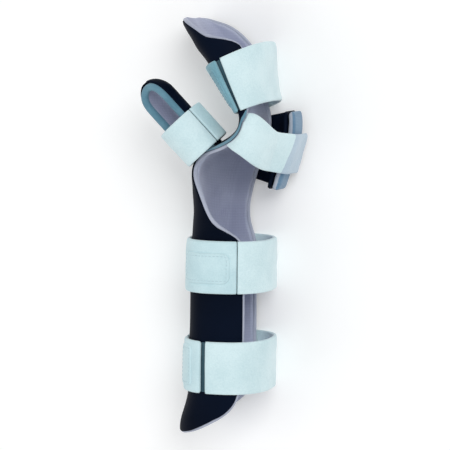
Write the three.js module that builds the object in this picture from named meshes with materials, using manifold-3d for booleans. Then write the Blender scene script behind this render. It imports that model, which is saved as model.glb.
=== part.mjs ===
// Resting hand splint for a right hand, lying on its little finger side.
// Millimetres. +X is the back of the hand, +Y the fingertips, +Z the thumb side.
// Every piece is a wall between two surfaces that follow one bent axis: the axis runs up the
// forearm, leans back at the wrist and folds forward at the knuckles.

import * as THREE from 'three';
import Module from 'manifold-3d';

const wasm = await Module();
wasm.setup();

// Lengths along the axis
const FOREARM_LENGTH = 148; // elbow end to wrist crease
const PALM_LENGTH = 88; // wrist crease to knuckles
const FINGER_LENGTH = 100; // knuckles to the tip of the finger pan

// Bends of the axis, in degrees
const PALM_TILT = 18; // lean of the palm towards the back of the hand
const FINGER_TILT = 24; // lean of the first finger bones towards the palm
const FINGER_CURL = 38; // more lean gained from the middle joints to the fingertips
const WRIST_BEND = 30; // length over which the wrist bends
const KNUCKLE_BEND = 28; // length over which the knuckles bend

// Outer size of the trough across and through
const FOREARM_WIDTH = 70;
const FOREARM_DEPTH = 60;
const HAND_WIDTH = 84;
const HAND_DEPTH = 56; // at the ball of the thumb
const PAN_WIDTH = 82;
const PAN_DEPTH = 34;
const ELBOW_FLARE = 8; // how far the elbow end turns out
const FLARE_LENGTH = 34;

// Walls and clearances
const SHELL_WALL = 2.2;
const LINING_WALL = 3.4;
const RIM_LIP = 1.8; // lining that stands past the edge of the shell
const STRAP_WALL = 3.2;
const BOARD_WALL = 2.8;
const PAD_WALL = 6;
const GAP = 0.3;
const FLATTEN = 1.1; // how much the side that it lies on is pressed flat

// Straps: width, and where the near edge lies, measured from the wrist crease or the knuckles
const FOREARM_STRAP_WIDTH = 39;
const FOREARM_STRAP_DROP = 115; // far edge below the wrist crease
const WRIST_STRAP_WIDTH = 39;
const WRIST_STRAP_DROP = 40.5;
const HAND_STRAP_WIDTH = 26;
const HAND_STRAP_RISE = 69; // near edge above the wrist crease, at the thumb side
const HAND_STRAP_SLANT = 12; // how far it drops towards the wrist on its way to the wing
const FINGER_STRAP_WIDTH = 41;
const FINGER_STRAP_RISE = 10; // near edge above the knuckles
const SLOT = 4.4; // bare shell between a strap's end and its tab
const BUTT = 0.5; // where a strap's end and its tab meet

// Wing over the little finger side of the hand
const WING_LENGTH = 50;
const WING_RISE = 42; // near edge above the wrist crease
const WING_REACH = 20.5; // outside of the board from the axis, towards the back of the hand
const WING_LEAN = 1.5; // how much nearer its free edge comes
const WING_HEIGHT = 34; // free edge above the surface that it lies on
const WING_FOOT = 34; // board that laps under the shell
const WING_CORNER = 9; // radius of its bend
const PAD_FOOT = 9; // lowest edge of the pad

// Thumb spoon
const THUMB_LENGTH = 72; // from the palm to its tip
const THUMB_ROOT_RISE = 55; // its root above the wrist crease
const THUMB_ROOT_REACH = 25.5; // its root from the axis, towards the palm side
const THUMB_ROOT_HEIGHT = 58; // its root above the surface that the splint lies on
const THUMB_ROOT_DEPTH = 12; // spoon below the root, cut away where it would enter the palm
const THUMB_WIDTH = 28;
const THUMB_WALL = 2;
const THUMB_LINING = 4.2;
const THUMB_TIP = 17; // length over which the tip closes
const THUMB_WRAP = 104; // how far each side wall rises from the floor, in degrees
const THUMB_STRAP_WIDTH = 31;
const THUMB_STRAP_START = 3.5; // from the root of the spoon
const THUMB_STRAP_WALL = 2.6;
const THUMB_STRAP_EASE = 2.2; // slack that lets it stand off on the fingers' side
const THUMB_TAB_START = 40; // angles round the spoon between which its tab lies
const THUMB_TAB_END = 104;

// Fineness of the walls
const SQUARENESS = 0.82; // 1 is an ellipse, less is boxier
const ARC_STEPS = 20;
const RING_STEPS = 36;
const AXIS_STEPS = 240;

const WRIST = FOREARM_LENGTH;
const KNUCKLES = FOREARM_LENGTH + PALM_LENGTH;
const TIP = KNUCKLES + FINGER_LENGTH;
const MIDDLE_JOINTS = KNUCKLES + FINGER_LENGTH * 0.48;
const STRAP_STACK = GAP + STRAP_WALL;
const LINING_OUT = -(SHELL_WALL + GAP);
const LINING_IN = LINING_OUT - LINING_WALL;

const toRadians = THREE.MathUtils.degToRad;
const smooth = (value) => THREE.MathUtils.smoothstep(value, 0, 1);

// Axis

function tiltAt(s) {
  const palm = PALM_TILT * smooth((s - WRIST + WRIST_BEND / 6) / WRIST_BEND);
  const knuckle = (PALM_TILT + FINGER_TILT) * smooth((s - KNUCKLES) / KNUCKLE_BEND + 0.5);
  const curl = FINGER_CURL * smooth((s - MIDDLE_JOINTS) / (TIP - MIDDLE_JOINTS));
  return toRadians(palm - knuckle - curl);
}

function traceAxis() {
  const step = TIP / AXIS_STEPS;
  const points = [new THREE.Vector2(0, -FOREARM_LENGTH)];
  for (let i = 0; i < AXIS_STEPS; i += 1) {
    const tilt = tiltAt((i + 0.5) * step);
    const last = points[i];
    points.push(new THREE.Vector2(last.x + step * Math.sin(tilt), last.y + step * Math.cos(tilt)));
  }
  return points;
}

const AXIS = traceAxis();

function axisAt(s) {
  const place = THREE.MathUtils.clamp((s / TIP) * AXIS_STEPS, 0, AXIS_STEPS - 1e-6);
  const i = Math.floor(place);
  return AXIS[i].clone().lerp(AXIS[i + 1], place - i);
}

// Sections of the trough. Each row holds its place as a share of its stretch of the axis, its
// outer width, its reach from the axis to the palm side and to the back as shares of the named
// sizes, and how far the thumb side and little finger side walls wrap round from the floor of the
// trough, in degrees.

const forearmRow = (at, width, palm, back, thumbWrap, littleWrap) => ({
  place: FOREARM_LENGTH * at,
  width: FOREARM_WIDTH * width,
  palm: FOREARM_DEPTH * palm,
  back: FOREARM_DEPTH * back,
  thumbWrap,
  littleWrap,
});
const palmRow = (at, width, palm, back, thumbWrap, littleWrap) => ({
  place: WRIST + PALM_LENGTH * at,
  width: HAND_WIDTH * width,
  palm: HAND_DEPTH * palm,
  back: HAND_DEPTH * back,
  thumbWrap,
  littleWrap,
});
const fingerRow = (at, width, palm, back, thumbWrap, littleWrap) => ({
  place: KNUCKLES + FINGER_LENGTH * at,
  width: PAN_WIDTH * width,
  palm: PAN_DEPTH * palm,
  back: PAN_DEPTH * back,
  thumbWrap,
  littleWrap,
});
const SECTIONS = [
  forearmRow(0.0, 0.94, 0.5, 0.5, 34, 30),
  forearmRow(0.02, 0.96, 0.5, 0.5, 54, 48),
  forearmRow(0.09, 1.0, 0.5, 0.5, 86, 78),
  forearmRow(0.2, 1.0, 0.505, 0.495, 112, 100),
  forearmRow(0.36, 1.0, 0.5, 0.5, 121, 108),
  forearmRow(0.6, 0.99, 0.48, 0.51, 121, 108),
  forearmRow(0.94, 0.97, 0.475, 0.51, 121, 108),
  palmRow(0.0, 0.8, 0.49, 0.53, 112, 104),
  palmRow(0.12, 0.86, 0.475, 0.48, 82, 98),
  palmRow(0.3, 0.93, 0.565, 0.4, 54, 92),
  palmRow(0.5, 1.0, 0.645, 0.33, 23, 90),
  palmRow(0.62, 1.0, 0.6, 0.31, 30, 90),
  palmRow(0.74, 1.0, 0.41, 0.31, 50, 90),
  palmRow(0.86, 1.0, 0.24, 0.31, 68, 90),
  fingerRow(0.0, 1.02, 0.23, 0.51, 84, 90),
  fingerRow(0.1, 1.0, 0.17, 0.45, 104, 92),
  fingerRow(0.3, 1.0, 0.28, 0.62, 122, 98),
  fingerRow(0.52, 0.98, 0.42, 0.85, 124, 104),
  fingerRow(0.7, 0.95, 0.5, 0.6, 88, 101),
  fingerRow(0.86, 0.88, 0.42, 0.4, 74, 87),
  fingerRow(0.95, 0.78, 0.34, 0.36, 65, 74),
  fingerRow(0.985, 0.7, 0.3, 0.35, 54, 58),
  fingerRow(1.0, 0.64, 0.28, 0.34, 40, 42),
];
const COLUMNS = ['width', 'palm', 'back', 'thumbWrap', 'littleWrap'];
const STATIONS = SECTIONS.map((row) => row.place);

// Smooth value of one column between its rows, without overshoot
function column(name, s) {
  const place = THREE.MathUtils.clamp(s, STATIONS[0], STATIONS[STATIONS.length - 1]);
  let i = 0;
  while (i < STATIONS.length - 2 && place > STATIONS[i + 1]) {
    i += 1;
  }
  const slope = (k) => (SECTIONS[k + 1][name] - SECTIONS[k][name]) / (STATIONS[k + 1] - STATIONS[k]);
  const tangent = (k) => {
    if (k <= 0 || k >= STATIONS.length - 1) {
      return slope(THREE.MathUtils.clamp(k, 0, STATIONS.length - 2));
    }
    const before = slope(k - 1);
    const after = slope(k);
    return before * after <= 0 ? 0 : (2 * before * after) / (before + after);
  };
  const span = STATIONS[i + 1] - STATIONS[i];
  const t = (place - STATIONS[i]) / span;
  const start = SECTIONS[i][name];
  const end = SECTIONS[i + 1][name];
  return (2 * t ** 3 - 3 * t ** 2 + 1) * start + (t ** 3 - 2 * t ** 2 + t) * span * tangent(i)
    + (3 * t ** 2 - 2 * t ** 3) * end + (t ** 3 - t ** 2) * span * tangent(i + 1);
}

function sectionAt(s) {
  const section = {};
  COLUMNS.forEach((name) => {
    section[name] = column(name, s);
  });
  section.palm += ELBOW_FLARE * smooth(1 - s / FLARE_LENGTH);
  return section;
}

// A point of the section plane at s, `across` towards the back of the hand and `height` up
function place(s, across, height) {
  const centre = axisAt(s);
  const tilt = tiltAt(s);
  return new THREE.Vector3(
    centre.x + across * Math.cos(tilt),
    centre.y - across * Math.sin(tilt),
    height,
  );
}

// A point of the surface that lies `out` beyond the shell's outside, at `angle` degrees round the
// section: 0 is the floor of the trough, 90 the thumb side, 180 the back, -90 the little finger side

const rounded = (value) => Math.sign(value) * Math.abs(value) ** SQUARENESS;

function outline(s, angle, out) {
  const section = sectionAt(s);
  const turn = toRadians(angle);
  const reach = Math.cos(turn) > 0 ? section.palm : section.back;
  const middle = STRAP_STACK - FLATTEN + section.width / 2;
  const height = middle + rounded(Math.sin(turn)) * (section.width / 2 + out);
  return new THREE.Vector2(
    -rounded(Math.cos(turn)) * (reach + out),
    Math.max(height, STRAP_STACK - out),
  );
}

function surface(s, angle, out) {
  const point = outline(s, angle, out);
  return place(s, point.x, point.y);
}

// Angle that a length takes on the side of a section
function angleOf(s, length) {
  return THREE.MathUtils.radToDeg(length / (sectionAt(s).width / 2));
}

// Closed solids from rows of points

function outwards(positions, faces) {
  let volume = 0;
  faces.forEach(([a, b, c]) => {
    volume += positions[a].dot(positions[b].clone().cross(positions[c]));
  });
  return volume < 0 ? faces.map(([a, b, c]) => [a, c, b]) : faces;
}

function geometryFrom(positions, faces) {
  const geometry = new THREE.BufferGeometry();
  geometry.setAttribute(
    'position',
    new THREE.Float32BufferAttribute(positions.flatMap((point) => [point.x, point.y, point.z]), 3),
  );
  geometry.setIndex(outwards(positions, faces).flat());
  geometry.computeVertexNormals();
  return geometry;
}

// Faces between closed rings of equally many points, split along the shorter diagonal
function skin(rings) {
  const size = rings[0].length;
  const faces = [];
  for (let k = 0; k < rings.length - 1; k += 1) {
    for (let i = 0; i < size; i += 1) {
      const j = (i + 1) % size;
      const [a, b, c, d] = [k * size + i, k * size + j, (k + 1) * size + j, (k + 1) * size + i];
      if (rings[k][i].distanceTo(rings[k + 1][j]) < rings[k][j].distanceTo(rings[k + 1][i])) {
        faces.push([a, b, c], [a, c, d]);
      } else {
        faces.push([a, b, d], [b, c, d]);
      }
    }
  }
  return faces;
}

// Each section is one closed ring of points; the rings are joined and their ends closed by strips
// between the first half of a ring and its second half
function loft(rings) {
  const size = rings[0].length;
  const half = size / 2;
  const faces = skin(rings);
  const ends = [[0, 1], [(rings.length - 1) * size, -1]];
  ends.forEach(([base, side]) => {
    for (let i = 0; i < half - 1; i += 1) {
      const quad = [base + i, base + i + 1, base + size - 2 - i, base + size - 1 - i];
      const [a, b, c, d] = side > 0 ? [...quad].reverse() : quad;
      faces.push([a, b, c], [a, c, d]);
    }
  });
  return geometryFrom(rings.flat(), faces);
}

function spread(from, to, steps) {
  return Array.from({ length: steps + 1 }, (unused, i) => from + ((to - from) * i) / steps);
}

// Wall from `inner` to `outer` beyond the shell, between two angles that may change along the
// axis, with a lip of its own past each of them
function wall({ places, start, end, inner, outer, steps, lip = null }) {
  return loft(places.map((s) => {
    const angles = spread(start(s), end(s), steps);
    if (lip) {
      angles.unshift(start(s) - lip(s));
      angles.push(end(s) + lip(s));
    }
    const outside = angles.map((angle) => surface(s, angle, outer(angle, s)));
    const inside = angles.map((angle) => surface(s, angle, inner(angle, s)));
    return [...outside, ...inside.reverse()];
  }));
}

const constant = (value) => () => value;

// Line through corners with the corner points rounded, as evenly spaced points
function bentLine(corners, radius, steps) {
  const path = new THREE.CurvePath();
  let last = corners[0];
  for (let i = 1; i < corners.length - 1; i += 1) {
    const into = corners[i].clone().sub(corners[i - 1]).normalize();
    const onward = corners[i + 1].clone().sub(corners[i]).normalize();
    const before = corners[i].clone().addScaledVector(into, -radius);
    const after = corners[i].clone().addScaledVector(onward, radius);
    path.add(new THREE.LineCurve(last, before));
    path.add(new THREE.QuadraticBezierCurve(before, corners[i], after));
    last = after;
  }
  path.add(new THREE.LineCurve(last, corners[corners.length - 1]));
  return path.getSpacedPoints(steps);
}

// Side of a line that is `distance` to the right of it
function besideLine(points, distance) {
  return points.map((point, i) => {
    const before = points[Math.max(i - 1, 0)];
    const after = points[Math.min(i + 1, points.length - 1)];
    const along = after.clone().sub(before).normalize();
    return new THREE.Vector2(point.x + along.y * distance, point.y - along.x * distance);
  });
}

// Sheet whose section is a line: `near` and `far` give the two sides of the sheet at s
function sheet({ places, near, far, slide = constant(0) }) {
  return loft(places.map((s) => {
    const count = near(s).length;
    const pick = (side) => Array.from({ length: count }, (unused, i) => {
      const there = s + slide(i / (count - 1));
      const point = side(there)[i];
      return place(there, point.x, point.y);
    });
    return [...pick(far), ...pick(near).reverse()];
  }));
}

// Straps that ring the trough. Each has a tab between two angles round the section; its band runs
// from past the tab's end, with a slot or a butt between them, round to the tab's start.
const RINGS = [
  {
    name: 'forearm',
    near: WRIST - FOREARM_STRAP_DROP,
    width: FOREARM_STRAP_WIDTH,
    tabStart: 8,
    tabEnd: 73,
    slot: SLOT,
  },
  {
    name: 'wrist',
    near: WRIST - WRIST_STRAP_DROP,
    width: WRIST_STRAP_WIDTH,
    tabStart: 16,
    tabEnd: 111,
    slot: BUTT,
  },
  {
    name: 'finger',
    near: KNUCKLES + FINGER_STRAP_RISE,
    width: FINGER_STRAP_WIDTH,
    tabStart: 36,
    tabEnd: 88,
    slot: SLOT,
  },
];

// Places along the axis that all pieces share: the edges of the ring straps, and places that lie
// closer together where the form changes quickly
const PLACE_SHARES = [0, 0.006, 0.016, 0.032, 0.056, 0.08, 0.15, 0.27, 0.38, 0.47, 0.5, 0.53, 0.56,
  0.59, 0.615, 0.64, 0.66, 0.68, 0.7, 0.716, 0.75, 0.78, 0.82, 0.885, 0.915, 0.94, 0.965, 0.985,
  0.995, 1];
const LEAST_STEP = 1.5;
const RING_EDGES = RINGS.flatMap(({ near, width }) => [near, near + width]);
const PLACES = PLACE_SHARES.map((share) => share * TIP)
  .concat(RING_EDGES)
  .sort((a, b) => a - b);

function placesBetween(first, last) {
  const inside = PLACES.filter((s) => s > first + LEAST_STEP && s < last - LEAST_STEP);
  return [first, ...inside, last];
}

// Named solids with their finish

const FINISH = {
  shell: { color: 0x10182c, roughness: 0.72, metalness: 0 },
  lining: { color: 0xa3b3c9, roughness: 0.9, metalness: 0 },
  strap: { color: 0xcfe4e8, roughness: 0.95, metalness: 0 },
  tab: { color: 0xb9d3da, roughness: 0.9, metalness: 0 },
  pad: { color: 0x8fabc4, roughness: 0.92, metalness: 0 },
};

const splint = new THREE.Group();

function add(name, finish, geometry) {
  const mesh = new THREE.Mesh(geometry, new THREE.MeshStandardMaterial(FINISH[finish]));
  mesh.name = name;
  splint.add(mesh);
}

// Shell and its lining

function addTrough() {
  const lip = (s) => angleOf(s, RIM_LIP);
  add('shell', 'shell', wall({
    places: PLACES,
    start: (s) => -sectionAt(s).littleWrap,
    end: (s) => sectionAt(s).thumbWrap,
    inner: constant(-SHELL_WALL),
    outer: constant(0),
    steps: ARC_STEPS,
  }));
  add('shell_lining', 'lining', wall({
    places: PLACES,
    start: (s) => -sectionAt(s).littleWrap,
    end: (s) => sectionAt(s).thumbWrap,
    inner: constant(LINING_IN),
    outer: constant(LINING_OUT),
    steps: ARC_STEPS,
    lip,
  }));
}

function addRing({ name, near, width, tabStart, tabEnd, slot }) {
  const places = placesBetween(near, near + width);
  const between = (s) => angleOf(s, slot);
  const joined = (s) => angleOf(s, BUTT);
  const band = { places, inner: constant(GAP), outer: constant(STRAP_STACK) };
  add(`${name}_strap`, 'strap', wall({
    ...band,
    start: (s) => tabEnd + between(s) / 2,
    end: (s) => 360 + tabStart - joined(s) / 2,
    steps: RING_STEPS,
  }));
  add(`${name}_tab`, 'tab', wall({
    ...band,
    start: (s) => tabStart + joined(s) / 2,
    end: (s) => tabEnd - between(s) / 2,
    steps: Math.ceil(((tabEnd - tabStart) / 360) * RING_STEPS) + 2,
  }));
}

// Wing: the dark board runs under the little finger side of the shell and turns up over the back
// of the hand. The pad lies on the outside of the part that stands up.

const BOARD_FLOOR = STRAP_STACK - GAP - BOARD_WALL;
const PAD_IN = GAP;
const PAD_OUT = PAD_IN + PAD_WALL;

// Outside of the board, from its lap to its free edge
function boardLine() {
  const corner = new THREE.Vector2(WING_REACH + WING_LEAN, BOARD_FLOOR);
  return bentLine([
    new THREE.Vector2(corner.x - WING_FOOT, BOARD_FLOOR),
    corner,
    new THREE.Vector2(WING_REACH, WING_HEIGHT),
  ], WING_CORNER, 14);
}

// Line beside the standing part of the board, `out` from it, from `low` up to the free edge
function wingLine(out, low, high, steps) {
  const slope = -WING_LEAN / (WING_HEIGHT - BOARD_FLOOR);
  const start = WING_REACH + WING_LEAN + out;
  return spread(low, high, steps)
    .map((height) => new THREE.Vector2(start + slope * (height - BOARD_FLOOR), height));
}

function addWing() {
  const near = WRIST + WING_RISE;
  const places = placesBetween(near, near + WING_LENGTH);
  const outside = boardLine();
  const inside = besideLine(outside, -BOARD_WALL);
  add('ulnar_wing', 'shell', sheet({ places, near: constant(inside), far: constant(outside) }));
  add('wing_pad', 'pad', sheet({
    places,
    near: constant(wingLine(PAD_IN, PAD_FOOT, WING_HEIGHT, 6)),
    far: constant(wingLine(PAD_OUT, PAD_FOOT, WING_HEIGHT, 6)),
  }));
}

// Hand strap: from the edge of the shell at the web of the thumb, across the knuckles, up over the
// edge of the wing and down its outside

const HAND_STRAP_TURN = 172; // where it leaves the hand for the wing, in degrees round the section

function handStrapLine(s, out) {
  const start = sectionAt(s).thumbWrap + angleOf(s, RIM_LIP + BUTT);
  const settle = HAND_STRAP_TURN - start;
  const low = -STRAP_WALL + GAP;
  const overHand = spread(start, HAND_STRAP_TURN, 14).map((angle) => {
    const rest = THREE.MathUtils.lerp(low, GAP, smooth((angle - start) / (settle / 3)));
    return outline(s, angle, rest + out);
  });
  const overWing = wingLine(PAD_OUT + GAP + out, PAD_FOOT - 2, WING_HEIGHT + GAP + 1, 7).reverse();
  return [...overHand, ...overWing];
}

function addHandStrap() {
  const near = WRIST + HAND_STRAP_RISE;
  add('hand_strap', 'strap', sheet({
    places: placesBetween(near, near + HAND_STRAP_WIDTH),
    near: (s) => handStrapLine(s, 0),
    far: (s) => handStrapLine(s, STRAP_WALL),
    slide: (share) => -HAND_STRAP_SLANT * smooth(share * 1.4),
  }));
}

// Thumb spoon. It points up and to the palm side from the ball of the thumb and opens to the
// thumb side.

const THUMB_ROOT = place(WRIST + THUMB_ROOT_RISE, -THUMB_ROOT_REACH, THUMB_ROOT_HEIGHT);
const THUMB_ALONG = new THREE.Vector3(-0.665, 0.739, 0.116).normalize();
const THUMB_OPEN = new THREE.Vector3(-0.46, -0.2, 0.87)
  .projectOnPlane(THUMB_ALONG)
  .normalize();
const THUMB_SIDE = new THREE.Vector3().crossVectors(THUMB_ALONG, THUMB_OPEN);

function thumbPoint(along, angle, radius) {
  const turn = toRadians(angle);
  return THUMB_ROOT.clone()
    .addScaledVector(THUMB_ALONG, along)
    .addScaledVector(THUMB_SIDE, radius * Math.sin(turn))
    .addScaledVector(THUMB_OPEN, -radius * Math.cos(turn));
}

// Radius of the spoon: even, then a rounded tip
function thumbRadius(along, out) {
  const end = THUMB_LENGTH + out;
  const into = THREE.MathUtils.clamp((along - (THUMB_LENGTH - THUMB_TIP)) / (end - THUMB_LENGTH + THUMB_TIP), 0, 1);
  const least = 0.14;
  return (THUMB_WIDTH / 2 + out) * Math.max(Math.sqrt(1 - into ** 2), least);
}

function thumbWall({ outer, inner, wrap, floor }) {
  const straight = spread(-THUMB_ROOT_DEPTH, THUMB_LENGTH - THUMB_TIP, 5);
  const tip = spread(0, 90, 7).slice(1).map((turn) => Math.sin(toRadians(turn)));
  const places = [
    ...straight.map((along) => [along, along]),
    ...tip.map((part) => [
      THUMB_LENGTH - THUMB_TIP + part * (THUMB_TIP + outer),
      THUMB_LENGTH - THUMB_TIP + part * (THUMB_TIP + inner),
    ]),
  ];
  return loft(places.map(([outerAlong, innerAlong]) => {
    const angles = spread(-wrap, wrap, 14);
    const outside = angles.map((angle) => thumbPoint(outerAlong, angle, thumbRadius(outerAlong, outer)));
    const inside = angles.map((angle) => thumbPoint(innerAlong, angle, thumbRadius(innerAlong, inner)));
    return [...outside, ...inside.reverse()];
  }));
}

// Joining and cutting

function toSolid(geometry) {
  return new wasm.Manifold(new wasm.Mesh({
    numProp: 3,
    vertProperties: geometry.attributes.position.array,
    triVerts: new Uint32Array(geometry.index.array),
  }));
}

function fromSolid(solid) {
  const mesh = solid.getMesh();
  const geometry = new THREE.BufferGeometry();
  geometry.setAttribute('position', new THREE.BufferAttribute(new Float32Array(mesh.vertProperties), 3));
  geometry.setIndex(new THREE.BufferAttribute(new Uint32Array(mesh.triVerts), 1));
  geometry.computeVertexNormals();
  return geometry;
}

// The palm's full outline, a little proud of the shell, that the spoon is cut against
function palmBody() {
  const places = placesBetween(WRIST, KNUCKLES + KNUCKLE_BEND);
  const round = spread(0, 360, RING_STEPS).slice(0, -1);
  const rings = places.map((s) => round.map((angle) => surface(s, angle, GAP)));
  const faces = skin(rings);
  const last = (rings.length - 1) * RING_STEPS;
  for (let i = 1; i < RING_STEPS - 1; i += 1) {
    faces.push([0, i + 1, i], [last, last + i, last + i + 1]);
  }
  return geometryFrom(rings.flat(), faces);
}

function addThumb() {
  const body = toSolid(palmBody());
  const spoon = toSolid(thumbWall({ outer: 0, inner: -THUMB_WALL, wrap: THUMB_WRAP }));
  const liningOut = -(THUMB_WALL + GAP);
  const lining = toSolid(thumbWall({
    outer: liningOut,
    inner: liningOut - THUMB_LINING,
    wrap: THUMB_WRAP + 6,
  }));
  add('thumb_trough', 'shell', fromSolid(spoon.subtract(body)));
  add('thumb_lining', 'lining', fromSolid(lining.subtract(body)));
}

function addThumbStrap() {
  const body = toSolid(palmBody());
  const radius = THUMB_WIDTH / 2 + GAP + THUMB_STRAP_EASE;
  const eased = (along, angle, reach) => thumbPoint(along, angle, reach)
    .addScaledVector(THUMB_SIDE, THUMB_STRAP_EASE);
  const places = spread(THUMB_STRAP_START, THUMB_STRAP_START + THUMB_STRAP_WIDTH, 2);
  const band = (start, end, steps) => loft(places.map((along) => {
    const angles = spread(start, end, steps);
    const outside = angles.map((angle) => eased(along, angle, radius + THUMB_STRAP_WALL));
    const inside = angles.map((angle) => eased(along, angle, radius));
    return [...outside, ...inside.reverse()];
  }));
  const joint = THREE.MathUtils.radToDeg(BUTT / radius);
  const strap = toSolid(band(THUMB_TAB_END + joint, 360 + THUMB_TAB_START - joint, 30));
  const tab = toSolid(band(THUMB_TAB_START, THUMB_TAB_END, 7));
  add('thumb_strap', 'strap', fromSolid(strap.subtract(body)));
  add('thumb_tab', 'tab', fromSolid(tab.subtract(body)));
}

addTrough();
RINGS.forEach(addRing);
addWing();
addHandStrap();
addThumb();
addThumbStrap();

// The origin is under the middle of the whole splint, on the surface that it lies on
splint.updateMatrixWorld(true);
const box = new THREE.Box3().setFromObject(splint);
const middle = box.getCenter(new THREE.Vector3());
splint.position.set(-middle.x, -middle.y, -box.min.z);

export default splint;
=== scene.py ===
# %% [markdown]
# # A resting hand splint
# A resting hand splint is a trough for the forearm, the palm and the fingers, with a spoon for the
# thumb. Its dark shell is moulded in one piece and lined with soft foam, whose edge is bound with a
# pale roll. Wide loop straps close it, and a padded wing holds the little finger side. This lesson
# dresses the plain solids of the part with rolled edges, crowned foam, stitched tabs and cloth.

# %% Frame
import math
import bmesh
import bpy
import numpy as np
from mathutils import Matrix, Vector


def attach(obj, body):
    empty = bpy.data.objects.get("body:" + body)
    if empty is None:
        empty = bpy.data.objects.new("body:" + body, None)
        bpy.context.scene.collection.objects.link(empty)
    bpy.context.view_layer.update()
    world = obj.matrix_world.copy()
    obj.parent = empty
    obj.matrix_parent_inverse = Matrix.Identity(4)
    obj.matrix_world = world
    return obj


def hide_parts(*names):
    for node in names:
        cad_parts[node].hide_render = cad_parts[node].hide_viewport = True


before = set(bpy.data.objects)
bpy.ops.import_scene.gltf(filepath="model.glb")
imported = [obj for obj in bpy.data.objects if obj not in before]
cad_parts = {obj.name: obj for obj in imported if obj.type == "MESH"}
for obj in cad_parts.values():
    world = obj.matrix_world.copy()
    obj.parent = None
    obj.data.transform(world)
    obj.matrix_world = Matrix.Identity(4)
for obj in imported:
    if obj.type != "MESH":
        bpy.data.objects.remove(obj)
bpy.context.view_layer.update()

# %% [markdown]
# ## Floor, light and camera
# The splint lies on its little finger side on a white table and is seen almost from above, a little
# towards the back of the hand and towards the fingertips. Three soft lamps keep the shadows faint,
# as in a catalogue picture. The brightest stands on the side of the hand's back, so tabs that face
# the palm side are darker; the finger strap's tab is painted darker still, as painted shade. The
# table gives off a little light of its own, so it stays near white.

# %% Camera
MM = 0.001
OFFSET = Vector((4.435566, -7.910477, 0.0))  # from the wrist crease on the axis to the frame's origin
CAMERA_TURN = math.radians(15)
CAMERA_RISE = math.radians(5)
CAMERA_DISTANCE = 1500
MM_PER_PIXEL = 0.75
FRAME_PIXELS = 450
TARGET_PIXEL = (230, 235)

toward = Vector((
    math.sin(CAMERA_TURN) * math.cos(CAMERA_RISE),
    math.sin(CAMERA_RISE),
    math.cos(CAMERA_TURN) * math.cos(CAMERA_RISE),
))
right = Vector((0, 1, 0)).cross(toward).normalized()
upward = toward.cross(right)
target = OFFSET + Vector((0, 0, 38))
aim = (target
       + right * (FRAME_PIXELS / 2 - TARGET_PIXEL[0]) * MM_PER_PIXEL
       + upward * (TARGET_PIXEL[1] - FRAME_PIXELS / 2) * MM_PER_PIXEL)
camera_data = bpy.data.cameras.new("camera")
camera_data.sensor_width = 36
camera_data.lens = 36 * CAMERA_DISTANCE / (FRAME_PIXELS * MM_PER_PIXEL)
camera_data.clip_start = 0.05
camera_data.clip_end = 20
camera = bpy.data.objects.new("camera", camera_data)
turn = Matrix((right, upward, toward)).transposed().to_4x4()
camera.matrix_world = Matrix.Translation((aim + toward * CAMERA_DISTANCE) * MM) @ turn
bpy.context.scene.collection.objects.link(camera)
bpy.context.scene.camera = camera
print("camera lens", round(camera_data.lens, 1), "mm")


# %% Floor
def plain_material(name, colour, roughness):
    """A principled material with one colour, before any pattern is added."""
    material = bpy.data.materials.new(name)
    material.use_nodes = True
    shader = material.node_tree.nodes["Principled BSDF"]
    shader.inputs["Base Color"].default_value = (*colour, 1)
    shader.inputs["Roughness"].default_value = roughness
    return material


floor_mesh = bpy.data.meshes.new("floor")
FLOOR_HALF = 6.0
floor_mesh.from_pydata(
    [(x * FLOOR_HALF, y * FLOOR_HALF, 0) for x, y in ((-1, -1), (1, -1), (1, 1), (-1, 1))],
    [], [(0, 1, 2, 3)])
floor = bpy.data.objects.new("floor", floor_mesh)
floor.location.z = -0.0004
bpy.context.scene.collection.objects.link(floor)
table_white = plain_material("table_white", (0.85, 0.85, 0.85), 0.9)
table_white.node_tree.nodes["Principled BSDF"].inputs["Emission Color"].default_value = (1, 1, 1, 1)
table_white.node_tree.nodes["Principled BSDF"].inputs["Emission Strength"].default_value = 0.2
floor_mesh.materials.append(table_white)


# %% Lamps
def lamp(name, place, size, power, colour=(1, 1, 1)):
    """A square area lamp, given in metres, that faces the splint."""
    data = bpy.data.lights.new(name, "AREA")
    data.size = size
    data.energy = power
    data.color = colour
    light = bpy.data.objects.new(name, data)
    light.location = place
    light.rotation_euler = (Vector((0, 0, 0.03)) - Vector(place)).to_track_quat("-Z", "Y").to_euler()
    bpy.context.scene.collection.objects.link(light)
    return light


lamp("key_lamp", (0.9, 0.9, 1.9), 1.1, 20)
lamp("fill_lamp", (-1.3, -0.4, 1.5), 1.4, 8)
lamp("rim_lamp", (0.2, -1.6, 1.2), 1.0, 5)
world = bpy.data.worlds.new("studio")
world.use_nodes = True
world.node_tree.nodes["Background"].inputs["Color"].default_value = (0.97, 0.985, 1.0, 1)
world.node_tree.nodes["Background"].inputs["Strength"].default_value = 0.5
bpy.context.scene.world = world
bpy.context.scene.view_settings.view_transform = "Standard"
print("lamps set")

# %% [markdown]
# ## The bent axis and its sections
# Everything follows one axis: it runs up the forearm, leans back at the wrist and folds forward at
# the knuckles. Along it stands a row of sections. Each is a rounded box with a width, a reach to the
# palm side and one to the back, and two angles that say how far the walls wrap round. These are the
# sizes of the solid part, in millimetres, so the detailed pieces sit exactly on it.

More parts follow.
